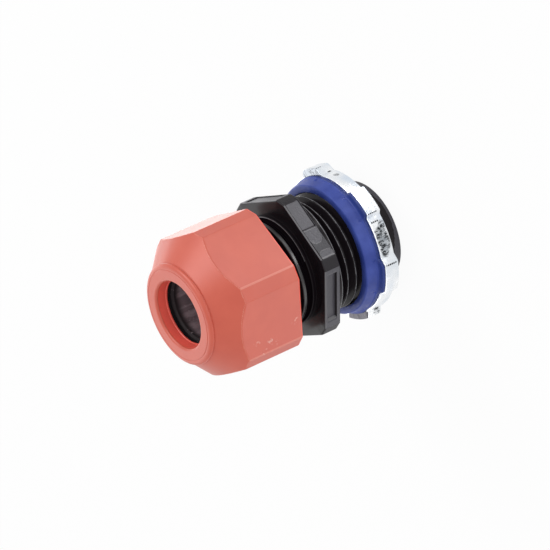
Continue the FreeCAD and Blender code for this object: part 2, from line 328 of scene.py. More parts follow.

# %% [markdown]
# ## Black nylon
#
# The body is moulded in black nylon. One black for all of it would look like a flat shadow, since
# black shows its form by its gloss alone. The real part has eroded flats and polished threads, so
# one function makes eight blacks that differ in tone, gloss and grain. Two of them are painted
# light: a pale black is a painted highlight on thin edges, crests and lit walls, and a black
# without shine is painted shade in grooves.

# %% Black nylon
# For each black finish: colour, roughness, scale and height of its grain, and specular level
BLACKS = {
    "black_nylon": ((0.0060, 0.0040, 0.0056), 0.16, 900, 0.00001, 0.10),
    "black_nylon_flats": ((0.026, 0.024, 0.033), 0.46, 3300, 0.00012, 0.55),
    # Painted highlight: a pale black for thin edges, crests and lit walls
    "black_nylon_painted_highlight": ((0.100, 0.098, 0.106), 0.40, 900, 0.00001, 0.4),
    "black_nylon_plain": ((0.014, 0.013, 0.018), 0.46, 3300, 0.00012, 0.40),
    "black_nylon_bevels": ((0.011, 0.009, 0.012), 0.38, 3300, 0.00008, 0.21),
    "black_nylon_gloss": ((0.0060, 0.0040, 0.0056), 0.24, 900, 0.00001, 0.50),
    "black_nylon_thread": ((0.0075, 0.0055, 0.0070), 0.18, 900, 0.00001, 0.18),
    # Painted shade: a black without shine for grooves
    "black_nylon_painted_shade": ((0.0050, 0.0034, 0.0048), 0.50, 900, 0.00001, 0.0),
}
BLACK, FLATS, PAINTED_HIGHLIGHT, PLAIN, BEVELS, GLOSS, THREAD, PAINTED_SHADE = range(8)


def black_nylon(name, colour, roughness, grain_scale, grain_height, specular):
    """Black nylon, slightly cloudy, with a grain of the scale and height given."""
    s = material_sheet(name)
    cloud = s.noise(220, 3)
    tint = s.mix(cloud, colour, tuple(c * 1.4 for c in colour))
    return s.finish(Base_Color=tint, Roughness=roughness + cloud * 0.08,
                    Specular_IOR_Level=specular,
                    Normal=s.bump(s.noise(grain_scale, 2), grain_height, 0.6))


MATERIALS |= {name: black_nylon(name, *look) for name, look in BLACKS.items()}
print("black finishes:", list(BLACKS))

# %% [markdown]
# ## Washer, rubber and seal
#
# The friction ring is plain dark nylon, hidden in the nut. The rubber bushing is matt, with painted
# shade at its mouth, and its bore is dusty and scratched along the cord's way, which noises
# stretched along the axis give. The seal is a soft blue plastic that is darker towards the
# locknut, over the lobes.

# %% Washer, rubber and seal
# Heights where the bushing's painted shade at the mouth gives way to dust and scratches
MOUTH_SHADE_AND_DUST_FROM, MOUTH_SHADE_AND_DUST_FULL = 0.0384, 0.0369
# Heights below which the seal is darker
SEAL_LOW_DARK_FROM, SEAL_LOW_DARK_FULL = 0.00800, 0.00780


def dark_washer():
    """Plain dark nylon, the same all over."""
    return material_sheet("washer_nylon").finish(Base_Color=(0.012, 0.011, 0.012), Roughness=0.5,
                                                 Specular_IOR_Level=0.2)


def black_rubber():
    """Matt rubber with painted shade at the mouth, greyer, dusted and scratched down the bore."""
    s = material_sheet("black_rubber")
    dust = s.noise(420, 4, (1, 1, 0.3), 0.75)
    scratch = s.noise(330, 3, (1, 1, 0.05), 0.6)
    fleck = s.noise(1500, 2).step(0.66, 0.72)
    deep = s.height().step(MOUTH_SHADE_AND_DUST_FROM, MOUTH_SHADE_AND_DUST_FULL)
    grey = dust.step(0.38, 0.66) * 0.42 + scratch.step(0.54, 0.66) * 0.32 + 0.20
    # Painted shade: darkest at the mouth, greyer deeper down
    plain = s.mix(deep, (0.018, 0.013, 0.015), (0.092, 0.069, 0.079))
    colour = s.mix((deep * grey + fleck * 0.3).capped(), plain, (0.55, 0.46, 0.50))
    return s.finish(Base_Color=colour, Roughness=0.6 + dust * 0.2, Specular_IOR_Level=0.25,
                    Normal=s.bump(dust, 0.0001, 0.6))


def blue_seal():
    """Blue soft plastic, slightly glossy, with soft flow marks and a darker band towards the
    locknut.
    """
    s = material_sheet("blue_seal")
    cloud = s.noise(260, 3)
    colour = s.mix(cloud.step(0.3, 0.75), (0.031, 0.055, 0.28), (0.060, 0.095, 0.40))
    # Darker towards the locknut, over the lobes
    low_darker = s.height().step(SEAL_LOW_DARK_FROM, SEAL_LOW_DARK_FULL) * 0.6
    return s.finish(Base_Color=s.mix(low_darker, colour, (0.014, 0.030, 0.145)),
                    Roughness=0.32 + cloud * 0.12, Specular_IOR_Level=0.20,
                    Normal=s.bump(s.noise(700, 3), 0.00006, 0.5))


MATERIALS |= {"washer_nylon": dark_washer(), "black_rubber": black_rubber(),
              "blue_seal": blue_seal()}
print("finishes so far:", len(MATERIALS))

# %% [markdown]
# ## Plated steel
#
# The locknut is stamped from steel and plated with bright zinc. Plating looks like a mirror that
# has been handled: it is bright with a little blue in it and rippled by the stamping. A full metal
# with a low roughness gives the mirror. Soft spots at given places on the rim, broken up by noises,
# give greyed, flecked patches and dark marks that are painted reflections, and the fronts of two
# lugs are painted darker as shade.

# %% Plated steel
# Painted dark reflections on the locknut's rim: angle, distance from the axis, height, size and
# strength
RIM_REFLECTION_MARKS = ([(353.2, 14.15, z, 0.20, 0.7) for z in (7.1, 6.7, 6.3)]
             + [(347.2, 13.15, z, 0.28, 0.9) for z in (5.7, 5.4)]
             + [(290.6, 13.85, z, 0.22, 1.0) for z in (7.0, 6.6, 6.2, 5.8, 5.4)]
             + [(284.3, 13.1, z, 0.22, 1.0) for z in (6.8, 6.4, 6.0, 5.6)]
             + [(250.4, 14.0, z, 0.24, 1.0) for z in (7.0, 6.6, 6.2, 5.8, 5.4, 5.0)]
             + [(196.5, 13.1, 6.9, 0.35, 0.9)])
# Speckled patches on the rim, given in the same way
RIM_SPECKLES = [(281.5, 13.1, 5.1, 0.7, 0.9), (278.5, 13.1, 5.4, 1.0, 1.0),
                (276, 13.1, 6.4, 1.0, 0.9), (273, 13.1, 5.9, 1.5, 1.0),
                (269, 13.1, 5.9, 1.6, 1.0), (265.5, 13.1, 5.9, 1.5, 1.0),
                (262, 13.1, 6.1, 1.2, 0.9), (258.5, 13.1, 6.2, 0.9, 0.8),
                (191.5, 13.7, 5.4, 0.9, 0.9), (194.5, 13.1, 5.5, 0.8, 0.9),
                (7.0, 14.15, 6.6, 0.7, 0.6), (338, 13.1, 5.7, 0.7, 0.6)]
# The x of each lug whose front is painted darker as shade, and the tone of that painted shade
SHADED_LUGS = ((-13.75, (0.085, 0.081, 0.093)), (13.70, (0.36, 0.385, 0.42)))
FRONT_FROM, FRONT_FULL = 0.00722, 0.00734
STEEL_DARK = (0.035, 0.038, 0.042)


def around(s, spots):
    """The sum of soft spots round the axis, each full within half its size."""
    total = 0.0
    for angle, reach, z, size, strength in spots:
        a = math.radians(angle)
        away = s.away((reach * math.cos(a), reach * math.sin(a), z))
        total = away.step(size * MM, size * 0.5 * MM) * strength + total
    return total


def rim_patches_and_reflections(s, colour):
    """Greyed patches with dark flecks in them, and thin dark marks along the lugs' corners that are
    painted reflections.
    """
    broken = s.noise(1500, 3, (1, 1, 0.6), 0.7).step(0.34, 0.46)
    flecked = s.noise(1700, 5, (1, 1, 0.55), 0.85).step(0.47, 0.52)
    speckles = around(s, RIM_SPECKLES)
    colour = s.mix((speckles * 0.4).capped(), colour, (0.34, 0.37, 0.40))
    # Painted reflections: the dark marks along the lugs' corners
    dark = (around(s, RIM_REFLECTION_MARKS) * broken + speckles * flecked).capped()
    return s.mix(dark, colour, STEEL_DARK)


def shaded_lug_fronts(s, colour):
    """Painted shade: a darker tone with thin scribbles on the fronts of two lugs."""
    line = s.noise(520, 3)
    scribble = line.step(0.478, 0.50) * line.step(0.522, 0.50)
    front = s.height().step(FRONT_FROM, FRONT_FULL)
    for x, tone in SHADED_LUGS:
        lug_shade = 0.0
        for y in (-2.4, -1.2, 0.0, 1.2, 2.4):
            lug_shade = s.away((x, y, 7.5)).step(0.0013, 0.0010) + lug_shade
        lug_shade = lug_shade.capped() * front
        # Painted shade on the lug's front
        colour = s.mix(lug_shade, colour, tone)
        colour = s.mix(lug_shade * scribble * 0.8, colour, (0.06, 0.06, 0.066))
    return colour


def plated_steel():
    """Bright zinc with soft ripples, patches of blue, greyed patches and painted reflections on the
    rim, and painted shade on two lugs' fronts.
    """
    s = material_sheet("plated_steel")
    ripple = s.noise(170, 3)
    speck = s.noise(900, 3)
    colour = s.mix(ripple.step(0.35, 0.65), (0.70, 0.745, 0.795), (0.88, 0.89, 0.90))
    colour = s.mix(s.noise(110, 2).step(0.56, 0.68) * 0.5, colour, (0.52, 0.62, 0.76))
    colour = shaded_lug_fronts(s, rim_patches_and_reflections(s, colour))
    return s.finish(Base_Color=colour, Metallic=1.0,
                    Roughness=0.22 + speck.step(0.5, 0.75) * 0.2,
                    Normal=s.bump(ripple * 0.7 + speck * 0.3, 0.0004, 0.6))


MATERIALS["plated_steel"] = plated_steel()
print("materials:", sorted(MATERIALS))

# %% [markdown]
# ## The dome nut's sides
#
# The red nut is what a hand or a spanner turns. It is a hexagon with narrow bevels on its corners,
# cut by a 45 degree cone that rises to a round collar at the mouth. A six-sided cylinder cut by a
# boolean would have knife-sharp edges. Here a ring's radius is the lower of the hexagon and the
# cone, blended over a tenth of a millimetre, which gives the curved edges that the flats end in and
# rounds them at the same time. Extra angles beside the upright edges keep those crisp.

# %% Hexagons
def past(turns, angle):
    """Degrees from an angle to each turn, wrapped to half a turn each way."""
    return np.mod(np.degrees(turns) - angle + 180.0, 360.0) - 180.0


def soft_min(a, b, reach):
    """The lower of a and b, blended: min(a, b) - h^2 reach / 4, h = max(0, 1 - |a-b| / reach)."""
    h = np.maximum(reach - np.abs(a - b), 0) / reach
    return np.minimum(a, b) - h * h * reach / 4


def hexagon(angles, apothem, bevel, first_flat, reach):
    """Radius of a hexagon with bevelled corners: the least of d / cos(a - n) over twelve faces."""
    unseen, grazing = 1e3, 0.3
    radius = np.full(angles.shape, unseen)
    for side in range(12):
        distance = apothem if side % 2 == 0 else bevel
        cosine = np.cos(angles - math.radians(first_flat + 30 * side))
        face = np.where(cosine > grazing, distance / np.maximum(cosine, grazing), unseen)
        radius = soft_min(radius, face, reach)
    return radius


def hexagon_edges(apothem, bevel, first_flat, offsets=(-0.008, 0, 0.008)):
    """The angles of a bevelled hexagon's twelve upright edges, and a little to each side of them.

    A flat reaches atan2(2 bevel - sqrt(3) apothem, apothem) to each side of its middle.
    """
    half = math.atan2(2 * bevel - math.sqrt(3) * apothem, apothem)
    return [math.radians(first_flat + 60 * side) + way * half + offset
            for side in range(6) for way in (-1, 1) for offset in offsets]


print("angles kept for a hexagon's edges:", len(hexagon_edges(12.65, 13.86, 4.0)))

# %% Dome nut, sides
NUT_BACK, NUT_FRONT = 24.95, 42.05
NUT_TURNED = 4.0
NUT_APOTHEM, NUT_BEVEL = 12.65, 13.86
RIM_ROUND = 0.22
CONE_FROM, CONE_ANGLE = 34.0, 45
MOUTH_COLLAR, MOUTH_COLLAR_BASE = 9.35, 41.15
EDGE_BLEND, CONE_BLEND = 0.05, 0.12
# How far from an upright edge, in degrees, and from the cone's edge, in mm, the painted highlight
# reaches
HIGHLIGHT_TURN, HIGHLIGHT_STEP = math.degrees(0.0085), 0.045


def nut_sides(angles):
    """Rings up the flats and the cone, and the finish of each ring's faces.

    Radius = the lower of the hexagon and collar + (base - z) tan(cone angle).
    """
    sides = hexagon(angles, NUT_APOTHEM, NUT_BEVEL, NUT_TURNED, EDGE_BLEND)
    rings = [(sides - drop, NUT_BACK + (RIM_ROUND - drop) * 0.4)
             for drop in (RIM_ROUND, 0.12, 0.04)]
    rings.append((sides, NUT_BACK + RIM_ROUND))
    finish = [np.full(angles.shape, RED_RIM)] * len(rings)
    upright = np.zeros(angles.shape, bool)
    for edge in hexagon_edges(NUT_APOTHEM, NUT_BEVEL, NUT_TURNED, (0,))[::2]:
        upright |= np.abs(past(angles, math.degrees(edge))) < HIGHLIGHT_TURN
    heights = np.concatenate([np.linspace(NUT_BACK + 0.3, CONE_FROM - 0.1, 14),
                              np.linspace(CONE_FROM + 0.1, MOUTH_COLLAR_BASE - 0.06, 96)])
    for z in heights:
        cone = MOUTH_COLLAR + (MOUTH_COLLAR_BASE - z) * math.tan(math.radians(CONE_ANGLE))
        rings.append((soft_min(sides, cone, CONE_BLEND), z))
        # Painted highlight along the upright edges and the cone's edge
        pale = (upright & (cone > sides - EDGE_BLEND)) | (np.abs(sides - cone) < HIGHLIGHT_STEP)
        finish.append(np.where(pale, RED_PAINTED_HIGHLIGHT, RED))
    return rings, finish


print("width across the nut's flats:", 2 * NUT_APOTHEM, "mm")

# %% [markdown]
# ## The dome nut's mouth and thread
#
# The mouth has a collar with an elliptical edge, a fine ring line on its face and a rounded lip.
# Inside it the wall steps out to the room for the friction ring, and below that runs the thread
# that takes the body. A cosine groove is enough for a thread that only shows at the nut's back.

# %% Dome nut
LIP_RADIUS, LIP_WIDE, LIP_TALL = 6.75, 0.55, 0.45
NUT_BORE, NUT_CROWN, NUT_INNER_FACE, CROWN_FOOT = 10.06, 9.3, 39.75, 38.99
NUT_THREAD_END, BACK_CHAMFER, BACK_FACE = 38.15, 0.35, 11.9
CLAMP_PITCH, NUT_THREAD_SWING = 1.5, 0.25
MOUTH_WALL = [(6.2, NUT_FRONT - 0.46), (6.06, NUT_INNER_FACE + 0.36),
              (5.98, NUT_INNER_FACE + 0.28), (5.98, NUT_INNER_FACE + 0.06),
              (6.03, NUT_INNER_FACE)]


def nut_mouth():
    """Rings over the mouth's collar: a groove at its foot, its edge, a ring line and the lip."""
    base, edge = MOUTH_COLLAR_BASE, 8.45
    rings = [(MOUTH_COLLAR - 0.10, base), (MOUTH_COLLAR - 0.16, base + 0.06),
             (MOUTH_COLLAR - 0.05, base + 0.13), (MOUTH_COLLAR, base + 0.22)]
    rings += arc(edge, base + 0.3, MOUTH_COLLAR - edge, 0, 90, 12, 0.55)
    rings += [(8.40, 41.97), (8.36, 41.95), (8.30, 42.02), (8.26, NUT_FRONT)]
    rings += profile([(8.24, NUT_FRONT), (LIP_RADIUS, NUT_FRONT)])
    return rings + arc(LIP_RADIUS, NUT_FRONT - LIP_TALL, LIP_WIDE, 90, 180, 10, LIP_TALL)[1:]


def nut_inside(angles):
    """Rings from the mouth's wall to the back, with a thread that is a cosine wave.

    Radius = bore + swing (1 - cos(2 pi z / pitch - a)).
    """
    rings = profile([MOUTH_WALL[-1], (NUT_CROWN, NUT_INNER_FACE), (NUT_CROWN, CROWN_FOOT),
                     (NUT_BORE, NUT_THREAD_END)])
    for z in np.arange(NUT_THREAD_END - 0.1, NUT_BACK + 0.5, -0.16):
        groove = NUT_THREAD_SWING * (1 - np.cos(2 * np.pi * z / CLAMP_PITCH - angles))
        rings.append((NUT_BORE + groove, z))
    return rings + [(NUT_BORE + BACK_CHAMFER, NUT_BACK)]


def dome_nut():
    """The back face, up the sides, over the mouth and back down inside."""
    angles = ring_angles(240, hexagon_edges(NUT_APOTHEM, NUT_BEVEL, NUT_TURNED))
    back = profile([(NUT_BORE + BACK_CHAMFER, NUT_BACK), (BACK_FACE, NUT_BACK)])
    sides, side_finish = nut_sides(angles)
    mouth, wall = nut_mouth(), profile(MOUTH_WALL)[:-1]
    rings = back + sides + mouth + wall + nut_inside(angles)
    finish = np.full((len(rings) - 1, len(angles)), RED)
    sides_to = len(back) + len(sides)
    finish[len(back):sides_to] = side_finish
    wall_from = sides_to + len(mouth)
    # Painted light on the mouth's wall
    finish[wall_from:wall_from + len(wall)] = RED_PAINTED_MOUTH_LIGHT
    return dress(loft("dome_nut_surface", angles, rings), finish, *REDS)


place(dome_nut(), "nut", "dome_nut")

# %% [markdown]
# ## Threads
#
# A thread is a groove that climbs one pitch in each turn. A Screw modifier makes such a groove, but
# it leaves ragged ends that have to be joined to the cylinders beside it. Worked out as a radius
# for every angle and height, the thread fades into a lead-in cone or a relief by a plain minimum.

# %% Thread
def thread(angles, height, crest, depth, pitch, middle, wall=30, rounding=0.12):
    """Radius of a right-hand thread whose groove has its middle at height middle at angle 0.

    p is the distance from the groove's middle, wrapped to half a pitch each way. From a narrow root
    flat the radius rises by (p - root) / tan(wall) and is cut off at the crest.
    """
    p = height - middle - angles * pitch / (2 * np.pi)
    p = np.abs(p - pitch * np.round(p / pitch))
    root = pitch * 0.06
    rise = (p - root) / math.tan(math.radians(wall))
    return crest - depth + np.clip(soft_min(rise, np.full_like(rise, depth), rounding), 0, depth)


print("radii at a groove and a crest:",
      [float(thread(np.zeros(1), z, 10, 1, 2, 0)[0]) for z in (0, 1)])

# %% Pilot and pipe thread
PILOT_RADIUS, PILOT_LENGTH, PILOT_EDGE = 9.2, 2.95, 0.25
ENTRY_BORE = 7.3
ENTRY_CREST, ENTRY_DEPTH, ENTRY_PITCH, ENTRY_GROOVE = 10.6, 1.25, 1.814, 1.83
ENTRY_ROOT = ENTRY_CREST - ENTRY_DEPTH
ENTRY_TOP, SEAT_BACK = 14.15, 15.25


def pilot():
    """A flat end, a small round edge and a plain cylinder up to the thread."""
    rings = profile([(ENTRY_BORE, 0.0), (PILOT_RADIUS - PILOT_EDGE, 0.0)])
    rings += arc(PILOT_RADIUS - PILOT_EDGE, PILOT_EDGE, PILOT_EDGE, -90, 0, 5)[1:]
    return rings + profile([(PILOT_RADIUS, 0.3), (PILOT_RADIUS, PILOT_LENGTH)], 0.12)


def pipe_thread(angles):
    """Radius = the least of thread, lead-in cone and relief, but never below the thread's root."""
    rings = []
    for z in np.arange(PILOT_LENGTH + 0.01, SEAT_BACK, 0.09):
        cut = thread(angles, z, ENTRY_CREST, ENTRY_DEPTH, ENTRY_PITCH, ENTRY_GROOVE)
        lead = ENTRY_CREST - ENTRY_DEPTH * 0.6 + (z - PILOT_LENGTH)
        relief = ENTRY_CREST - max(0.0, z - ENTRY_TOP) / 0.5
        rings.append((np.maximum(np.minimum(cut, min(ENTRY_CREST, lead, relief)), ENTRY_ROOT), z))
    return rings


print("turns of the pipe thread:", round((ENTRY_TOP - PILOT_LENGTH) / ENTRY_PITCH, 1))

# %% [markdown]
# ## The collar's flats
#
# A spanner holds the body by its hexagon collar. Three of its flats have shallow panels sunk in
# them, whose thin walls catch the light. Booleans would cut them, but a depth for every angle and
# height, taken from the ring's radius, needs no cutting and keeps the mesh in rows. The other three
# flats are plain.

# %% Collar
SEAT_RADIUS = 12.0
COLLAR_BACK, COLLAR_FRONT = 16.35, 19.65
HEX_APOTHEM, HEX_BEVEL = 12.5, 13.81
DEEP_FLAT, SHALLOW_FLAT, RELIEF_FLAT = 240, 0, 300
DEEP_PANEL, SHALLOW_PANEL = (-4.5, 4.9), (-4.6, 4.6)
ROUND_END, HALF_ROUND = -2.8, 1.35


def step_up(x, low, high):
    """A smooth step from 0 at low to 1 at high: 3 t^2 - 2 t^3."""
    t = np.clip((x - low) / (high - low), 0, 1)
    return t * t * (3 - 2 * t)


def between(x, low, high, edge=0.1):
    """1 between low and high, falling to 0 over an edge beyond each."""
    return step_up(x, low - edge, low) * (1 - step_up(x, high, high + edge))


def along(angles, facing):
    """Distance along a flat from its middle, apothem tan(a - facing), and 99 off the flat."""
    turn = past(angles, facing)
    return np.where(np.abs(turn) < 28, HEX_APOTHEM * np.tan(np.radians(turn)), 99.0)


def panel_depth(angles, height):
    """How deep the flats are sunk at one height: the sum of the panels' masks times depths."""
    up = height - COLLAR_BACK
    depth = 0.55 * between(along(angles, DEEP_FLAT), *DEEP_PANEL) * between(up, 0.8, 2.75, 0.05)
    depth += 0.2 * between(along(angles, SHALLOW_FLAT), *SHALLOW_PANEL) * between(up, 0.35, 2.95)
    t = along(angles, RELIEF_FLAT)
    outside = np.hypot(np.minimum(t - ROUND_END - HALF_ROUND, 0), up - 1.6) - HALF_ROUND
    depth += 0.12 * (1 - step_up(outside, -0.06, 0.06)) * between(t, ROUND_END, 6.4)
    depth += 0.08 * between(t, 0.2, 0.3, 0.08) * between(up, 0.1, 3.1)
    nook = np.hypot(np.maximum(t + 5.3, 0), (up - 1.5) * 0.75) - 1.0
    depth += (0.1 * (1 - step_up(nook, -0.06, 0.06)) * (1 - step_up(np.abs(up - 1.5), 1.3, 1.4))
              * step_up(t, -5.8, -5.7))
    return depth


def collar_angles():
    """The hexagon's edges and the upright walls of the panels, as angles round the axis."""
    walls = {DEEP_FLAT: (-4.6, -4.5, 4.9, 5.0), RELIEF_FLAT: np.arange(-5.9, 0.6, 0.16),
             SHALLOW_FLAT: (-4.7, -4.6, 4.6, 4.7)}
    marks = [math.radians(facing) + math.atan2(t, HEX_APOTHEM)
             for facing, places in walls.items() for t in places]
    return ring_angles(160, hexagon_edges(HEX_APOTHEM, HEX_BEVEL, 0) + marks)


print("angles round the body:", len(collar_angles()))

# %% [markdown]
# ## The clamping thread and the passage
#
# The dome nut runs on the upper thread. Between it and the collar lie a smooth shoulder with a thin
# bright edge and a relief where the thread dies out. Inside, the wire way opens into the socket
# that the bushing stands in.

# %% Clamping thread and passage
CLAMP_CREST, CLAMP_DEPTH, CLAMP_GROOVE = 10.0, 0.8, 20.15
CLAMP_WALL, CLAMP_ROUNDING = 20, 0.25
SHOULDER_TOP, RELIEF_TOP, BODY_TOP = 20.4, 20.75, 33.95
CLAMP_LEAD = CLAMP_DEPTH * 0.8
SOCKET_RADIUS, SOCKET_FLOOR, SOCKET_LEAD = 8.0, 23.65, 0.8
# Above this height the nut always hides the thread, so its rings lie wider apart
COVERED_FROM, FINE_STEP, WIDE_STEP = 28.2, 0.09, 0.18


def clamping_thread(angles):
    """Rings up the shoulder, over its thin edge and up the thread to its lead-in."""
    rings = []
    seen = np.arange(COLLAR_FRONT + 0.01, COVERED_FROM, FINE_STEP)
    for z in np.concatenate([seen, np.arange(COVERED_FROM + 0.05, BODY_TOP, WIDE_STEP)]):
        if SHOULDER_TOP <= z < SHOULDER_TOP + FINE_STEP:
            rings += [(CLAMP_CREST, SHOULDER_TOP), (CLAMP_CREST - 0.14, SHOULDER_TOP + 0.02),
                      (CLAMP_CREST - 0.2, SHOULDER_TOP + 0.02)]
        radius = thread(angles, z, CLAMP_CREST, CLAMP_DEPTH, CLAMP_PITCH, CLAMP_GROOVE,
                        CLAMP_WALL, CLAMP_ROUNDING)
        if z < SHOULDER_TOP:
            radius = np.full(angles.shape, CLAMP_CREST + min(0.1, (SHOULDER_TOP - z) * 0.8))
        elif z < RELIEF_TOP + CLAMP_DEPTH:
            radius = np.minimum(radius, CLAMP_CREST - CLAMP_DEPTH + max(0.0, z - RELIEF_TOP))
        lead = CLAMP_CREST + 0.1 - max(0.0, z + 0.1 - (BODY_TOP - CLAMP_LEAD))
        rings.append((np.minimum(radius, lead), z))
    return rings


def passage():
    """The body's top edge, the socket's lead-in, its wall and floor, and the wire way."""
    return profile([(CLAMP_CREST - CLAMP_LEAD, BODY_TOP), (SOCKET_RADIUS + SOCKET_LEAD, BODY_TOP),
                    (SOCKET_RADIUS, BODY_TOP - SOCKET_LEAD), (SOCKET_RADIUS, SOCKET_FLOOR),
                    (ENTRY_BORE, SOCKET_FLOOR), (ENTRY_BORE, 0.0)], 3.0)


print("height of the body:", BODY_TOP, "mm")

# %% [markdown]
# ## The gland body
#
# The body is one loft from the pilot's end to the top and back down the passage. Its rings are
# listed by part, so that each part's rows can be given a finish by name: eroded flats, thin edges
# with a painted highlight, polished threads, and grooves with painted shade.

# %% Gland body
def gland_parts(angles):
    """The rings of each part of the body, from the pilot's end round to the passage."""
    sides = hexagon(angles, HEX_APOTHEM, HEX_BEVEL, 0, EDGE_BLEND)
    heights = np.linspace(COLLAR_BACK + 0.2, COLLAR_FRONT - 0.25, 48)
    flats = [(sides, COLLAR_BACK + 0.12)] + [(sides - panel_depth(angles, z), z) for z in heights]
    return {
        "pilot": pilot(),
        "pipe thread": pipe_thread(angles),
        "seat face": profile([(ENTRY_ROOT, SEAT_BACK), (SEAT_RADIUS - 0.1, SEAT_BACK)])[:-1],
        "seat edge": [(SEAT_RADIUS - 0.1, SEAT_BACK), (SEAT_RADIUS, SEAT_BACK + 0.1)],
        "seat": [(SEAT_RADIUS, SEAT_BACK + 0.23)]
                + profile([(SEAT_RADIUS, SEAT_BACK + 0.25), (SEAT_RADIUS, COLLAR_BACK)])
                + [(sides - 0.25, COLLAR_BACK), (sides - 0.1, COLLAR_BACK),
                   (sides - 0.03, COLLAR_BACK + 0.03)],
        "flats": flats[:-1],
        "front edge": [flats[-1], (sides - 0.02, COLLAR_FRONT - 0.16)],
        "front face": [(sides - 0.15, COLLAR_FRONT - 0.03), (sides - 0.28, COLLAR_FRONT),
                       (11.5, COLLAR_FRONT)],
        "foot": [(CLAMP_CREST + 0.2, COLLAR_FRONT), (CLAMP_CREST + 0.12, COLLAR_FRONT)],
        "clamping thread": clamping_thread(angles),
        "passage": passage(),
    }


def flat_finish(middles, depth, above, height):
    """Finishes of one row of the collar: flats, bevels, walls with painted shade or a painted
    highlight, the plain pad, and a painted shadow line.
    """
    side = np.round(middles / (np.pi / 3))
    facing = np.mod(side * 60, 360)
    turn = middles - side * np.pi / 3
    t = HEX_APOTHEM * np.tan(turn)
    flat_half = math.atan2(2 * HEX_BEVEL - math.sqrt(3) * HEX_APOTHEM, HEX_APOTHEM)
    on_flat = np.abs(turn) < flat_half
    wall = np.maximum(np.abs(above - depth), np.abs(np.roll(depth, -1) - depth)) > 0.03
    finish = np.where(on_flat, FLATS, BEVELS)
    finish[on_flat & (facing == RELIEF_FLAT) & (depth < 0.06)] = PLAIN
    # Painted shade on the panels' walls, and a painted highlight on the walls that face the light
    finish[wall & on_flat] = BLACK
    finish[wall & (facing == RELIEF_FLAT) & (t < 0.1)] = PAINTED_HIGHLIGHT
    finish[wall & (facing == DEEP_FLAT) & (t < -4.4)] = PAINTED_HIGHLIGHT
    # Painted shadow line below the relief flat's sunk step
    painted_shadow_line = abs(height - COLLAR_BACK - 2.93) < 0.09
    finish[on_flat & (facing == RELIEF_FLAT) & painted_shadow_line] = BLACK
    return finish, on_flat


def paint_gland(angles, rings, rows):
    """The finish of every face of the body, by part and within a part by radius and height."""
    radii = np.stack([spread(radius, angles) for radius, _ in rings])
    heights = np.array([height for _, height in rings])
    low, mean = heights[:-1], (radii[:-1] + radii[1:]) / 2
    middles = angles + np.diff(angles, append=angles[0] + 2 * np.pi) / 2
    finish = np.full(mean.shape, BLACK)

    # Painted shade: the pilot is dark above a line that climbs away from 290 degrees, and greyer
    # below it
    painted_shade_line = 0.6 + 3.4 * (1 - np.cos(middles - math.radians(290)))
    part = rows["pilot"]
    finish[part] = np.where(low[part][:, None] > painted_shade_line, THREAD, FLATS)

    part = rows["pipe thread"]
    on_thread = (low[part] > PILOT_LENGTH) & (low[part] < ENTRY_TOP)
    # Painted highlight on the pipe thread's crests
    crest = mean[part] > ENTRY_CREST - 0.03
    finish[part] = np.where(on_thread[:, None], np.where(crest, PAINTED_HIGHLIGHT, THREAD), BLACK)

    # Painted highlight along the seat's edge
    finish[rows["seat edge"]] = PAINTED_HIGHLIGHT
    for row in range(rows["flats"].start, rows["flats"].stop):
        depths = [panel_depth(angles, heights[row + up]) for up in (0, 1)]
        finish[row], on_flat = flat_finish(middles, *depths, heights[row])
    # Painted highlight along the flats' front edge
    finish[rows["front edge"]] = np.where(on_flat, PAINTED_HIGHLIGHT, BEVELS)
    finish[rows["front face"]] = THREAD

    part = rows["clamping thread"]
    z = low[part][:, None]
    on_clamp = (z > SHOULDER_TOP - 0.05) & (z < BODY_TOP - SOCKET_LEAD)
    crest = (mean[part] > CLAMP_CREST - 0.16) & (z > SHOULDER_TOP + 0.2)
    # Painted shade in the clamping thread's grooves, and a gloss on its crests
    painted = np.where(on_clamp, np.where(crest, GLOSS, PAINTED_SHADE), BLACK)
    # Painted highlight on the shoulder's thin edge over the quarter that faces the light, and
    # painted shade on the rest of it
    highlit_quarter = np.mod(middles + np.radians(82), 2 * np.pi) < np.radians(87)
    outer = radii[part.start + 1:part.stop + 1] > CLAMP_CREST - 0.16
    edge = np.abs(z - SHOULDER_TOP) < 0.03
    finish[part] = np.where(edge, np.where(highlit_quarter & outer, PAINTED_HIGHLIGHT, PAINTED_SHADE), painted)

    # The wire way's wall is as polished as the pipe thread round it
    part = rows["passage"]
    finish[part][(low[part] > PILOT_LENGTH) & (low[part] < ENTRY_TOP)] = THREAD
    return finish


def gland_body():
    """The parts' rings in one loft, with a finish for each face."""
    angles = collar_angles()
    rings, rows = [], {}
    for name, stack in gland_parts(angles).items():
        rows[name] = slice(len(rings), len(rings) + len(stack))
        rings += stack
    finish = paint_gland(angles, rings, rows)
    return dress(loft("gland_body_surface", angles, rings), finish, *BLACKS)


place(gland_body(), "body", "gland_body")

# %% [markdown]
# ## Friction ring and rubber bushing
#
# The friction ring lets the nut turn without dragging the rubber along. The bushing stands in the
# socket, and the nut's cone squeezes its head. Both are plain turned parts, so a profile is all
# they need.

# %% Friction ring
WASHER_BOTTOM, WASHER_BORE, WASHER_RADIUS = 38.95, 6.35, 8.9

round_angles = ring_angles(180)
washer_line = [(WASHER_BORE, WASHER_BOTTOM), (WASHER_RADIUS, WASHER_BOTTOM),
               (WASHER_RADIUS, NUT_INNER_FACE), (WASHER_BORE, NUT_INNER_FACE),
               (WASHER_BORE, WASHER_BOTTOM)]
washer = loft("friction_ring_surface", round_angles, profile(washer_line))
place(dress(washer, 0, "washer_nylon"), "nut_travel", "friction_ring")

# %% Rubber bushing
BUSHING_BORE, BUSHING_SLEEVE, BUSHING_HEAD = 5.7, 7.85, 8.8
HEAD_BOTTOM, HEAD_RISE, HEAD_CHAMFER, BORE_CHAMFER = WASHER_BOTTOM - 4.2, 0.95, 0.7, 0.35

